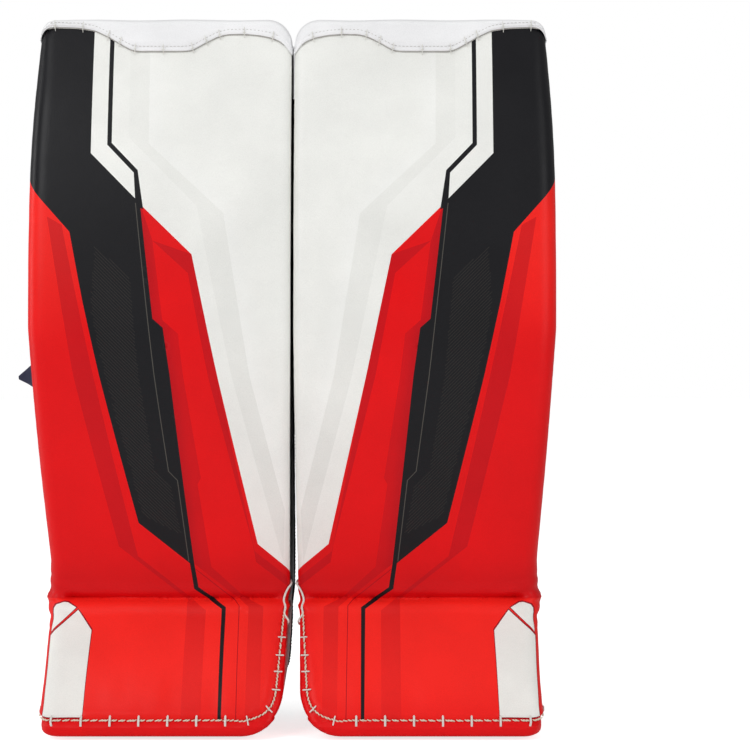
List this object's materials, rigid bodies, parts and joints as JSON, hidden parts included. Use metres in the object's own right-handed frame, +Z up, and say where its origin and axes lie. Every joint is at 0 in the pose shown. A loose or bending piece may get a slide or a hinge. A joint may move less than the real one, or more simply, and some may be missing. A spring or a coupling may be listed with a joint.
{
  "type": "ice hockey goalie leg pads",
  "caption": "Mirrored pair of goaltender leg pads: flat-faced foam shin pads with flexing boots, knee blocks, calf wings and closing straps.",
  "frame": {"origin": "on the floor, midway between the two pads and midway from the toes to the rearmost strap", "axes": "+Z up, -Y the way the faces look, +X from the left pad to the right one as seen from the front"},
  "size_m": [0.561, 0.2995, 0.7651],
  "materials": {
    "red_leathercloth": "satin",
    "white_leathercloth": "satin",
    "black_leathercloth": "satin",
    "grey_leathercloth": "matte",
    "grey_moulded_foam": "matte",
    "closed_cell_foam": "matte",
    "composite_board": "satin",
    "black_knit": "matte",
    "red_webbing": "woven",
    "black_webbing": "woven",
    "waxed_lace": "twisted"
  },
  "bodies": {
    "left_shin": {"left_shin_core": "closed_cell_foam", "left_face_stiffener": "composite_board", "left_face_skin": "red_leathercloth", "left_inner_side_skin": "grey_leathercloth", "left_back_liner": "black_knit", "left_outer_binding": "black_leathercloth", "left_inner_binding": "black_leathercloth", "left_top_cap": "white_leathercloth", "left_top_lacing": "waxed_lace", "left_knee_cushion": "black_knit", "left_knee_block_core": "closed_cell_foam", "left_knee_block_cover": "grey_moulded_foam", "left_knee_block_end_pad": "black_leathercloth", "left_knee_strap_anchor": "red_webbing", "left_calf_wedge": "black_knit"},
    "left_boot": {"left_boot_core": "closed_cell_foam", "left_boot_skin": "red_leathercloth", "left_boot_outer_binding": "black_leathercloth", "left_boot_inner_binding": "black_leathercloth", "left_ankle_gusset": "red_leathercloth", "left_toe_binding": "red_leathercloth", "left_toe_lacing": "waxed_lace"},
    "left_knee_strap": {"left_knee_strap": "red_webbing"},
    "left_knee_tab": {"left_knee_strap_tab": "red_webbing"},
    "left_outer_wing": {"left_outer_calf_wing": "white_leathercloth"},
    "left_inner_wing": {"left_inner_calf_wing": "black_knit"},
    "left_calf_strap": {"left_calf_strap": "black_webbing"},
    "left_calf_tab": {"left_calf_strap_tab": "red_webbing"},
    "left_boot_strap": {"left_boot_strap": "black_webbing"},
    "left_toe_tie": {"left_toe_tie": "black_webbing"},
    "right_shin": {"right_shin_core": "closed_cell_foam", "right_face_stiffener": "composite_board", "right_face_skin": "red_leathercloth", "right_inner_side_skin": "grey_leathercloth", "right_back_liner": "black_knit", "right_outer_binding": "black_leathercloth", "right_inner_binding": "black_leathercloth", "right_top_cap": "white_leathercloth", "right_top_lacing": "waxed_lace", "right_knee_cushion": "black_knit", "right_knee_block_core": "closed_cell_foam", "right_knee_block_cover": "grey_moulded_foam", "right_knee_block_end_pad": "black_leathercloth", "right_knee_strap_anchor": "red_webbing", "right_calf_wedge": "black_knit"},
    "right_boot": {"right_boot_core": "closed_cell_foam", "right_boot_skin": "red_leathercloth", "right_boot_outer_binding": "black_leathercloth", "right_boot_inner_binding": "black_leathercloth", "right_ankle_gusset": "red_leathercloth", "right_toe_binding": "red_leathercloth", "right_toe_lacing": "waxed_lace"},
    "right_knee_strap": {"right_knee_strap": "red_webbing"},
    "right_knee_tab": {"right_knee_strap_tab": "red_webbing"},
    "right_outer_wing": {"right_outer_calf_wing": "white_leathercloth"},
    "right_inner_wing": {"right_inner_calf_wing": "black_knit"},
    "right_calf_strap": {"right_calf_strap": "black_webbing"},
    "right_calf_tab": {"right_calf_strap_tab": "red_webbing"},
    "right_boot_strap": {"right_boot_strap": "black_webbing"},
    "right_toe_tie": {"right_toe_tie": "black_webbing"}
  },
  "joints": [
    {"name": "left_boot_flex", "type": "hinge", "parent": "left_shin", "child": "left_boot", "pos_m": [-0.141, -0.0625, 0.14], "axis": [-1, 0, 0], "range_deg": [-5, 15]},
    {"name": "left_knee_strap_open", "type": "hinge", "parent": "left_shin", "child": "left_knee_strap", "pos_m": [-0.0315, 0.088, 0.446], "axis": [0, 0, -1], "range_deg": [0, 70]},
    {"name": "left_knee_tab_peel", "type": "hinge", "parent": "left_knee_strap", "child": "left_knee_tab", "pos_m": [-0.272, 0.0315, 0.468], "axis": [0, 0, -1], "range_deg": [0, 150]},
    {"name": "left_outer_wing_open", "type": "hinge", "parent": "left_shin", "child": "left_outer_wing", "pos_m": [-0.26188, 0.0525, 0.178], "axis": [-0.0603, -0.4017, 0.9138], "range_deg": [0, 60]},
    {"name": "left_inner_wing_open", "type": "hinge", "parent": "left_shin", "child": "left_inner_wing", "pos_m": [-0.00612, 0.0525, 0.178], "axis": [-0.0095, 0.4025, -0.9154], "range_deg": [0, 20]},
    {"name": "left_calf_strap_open", "type": "hinge", "parent": "left_inner_wing", "child": "left_calf_strap", "pos_m": [-0.0655, 0.1375, 0.25], "axis": [0, 0, -1], "range_deg": [0, 80]},
    {"name": "left_calf_tab_peel", "type": "hinge", "parent": "left_calf_strap", "child": "left_calf_tab", "pos_m": [-0.1945, 0.147, 0.25], "axis": [0, 0, -1], "range_deg": [0, 120]},
    {"name": "left_boot_strap_open", "type": "hinge", "parent": "left_boot", "child": "left_boot_strap", "pos_m": [-0.025, 0.0485, 0.073], "axis": [0, 0, -1], "range_deg": [0, 60]},
    {"name": "left_toe_tie_swing", "type": "hinge", "parent": "left_boot", "child": "left_toe_tie", "pos_m": [-0.141, -0.0875, 0.0335], "axis": [1, 0, 0], "range_deg": [-30, 40]},
    {"name": "right_boot_flex", "type": "hinge", "parent": "right_shin", "child": "right_boot", "pos_m": [0.141, -0.0625, 0.14], "axis": [-1, 0, 0], "range_deg": [-5, 15]},
    {"name": "right_knee_strap_open", "type": "hinge", "parent": "right_shin", "child": "right_knee_strap", "pos_m": [0.0315, 0.088, 0.446], "axis": [0, 0, 1], "range_deg": [0, 70]},
    {"name": "right_knee_tab_peel", "type": "hinge", "parent": "right_knee_strap", "child": "right_knee_tab", "pos_m": [0.272, 0.0315, 0.468], "axis": [0, 0, 1], "range_deg": [0, 150]},
    {"name": "right_outer_wing_open", "type": "hinge", "parent": "right_shin", "child": "right_outer_wing", "pos_m": [0.26188, 0.0525, 0.178], "axis": [-0.0603, 0.4017, -0.9138], "range_deg": [0, 60]},
    {"name": "right_inner_wing_open", "type": "hinge", "parent": "right_shin", "child": "right_inner_wing", "pos_m": [0.00612, 0.0525, 0.178], "axis": [-0.0095, -0.4025, 0.9154], "range_deg": [0, 20]},
    {"name": "right_calf_strap_open", "type": "hinge", "parent": "right_inner_wing", "child": "right_calf_strap", "pos_m": [0.0655, 0.1375, 0.25], "axis": [0, 0, 1], "range_deg": [0, 80]},
    {"name": "right_calf_tab_peel", "type": "hinge", "parent": "right_calf_strap", "child": "right_calf_tab", "pos_m": [0.1945, 0.147, 0.25], "axis": [0, 0, 1], "range_deg": [0, 120]},
    {"name": "right_boot_strap_open", "type": "hinge", "parent": "right_boot", "child": "right_boot_strap", "pos_m": [0.025, 0.0485, 0.073], "axis": [0, 0, 1], "range_deg": [0, 60]},
    {"name": "right_toe_tie_swing", "type": "hinge", "parent": "right_boot", "child": "right_toe_tie", "pos_m": [0.141, -0.0875, 0.0335], "axis": [1, 0, 0], "range_deg": [-30, 40]},
    {"name": "right_pad_apart", "type": "slide", "parent": "left_shin", "child": "right_shin", "axis": [1, 0, 0], "range_m": [0, 0.3]}
  ]
}
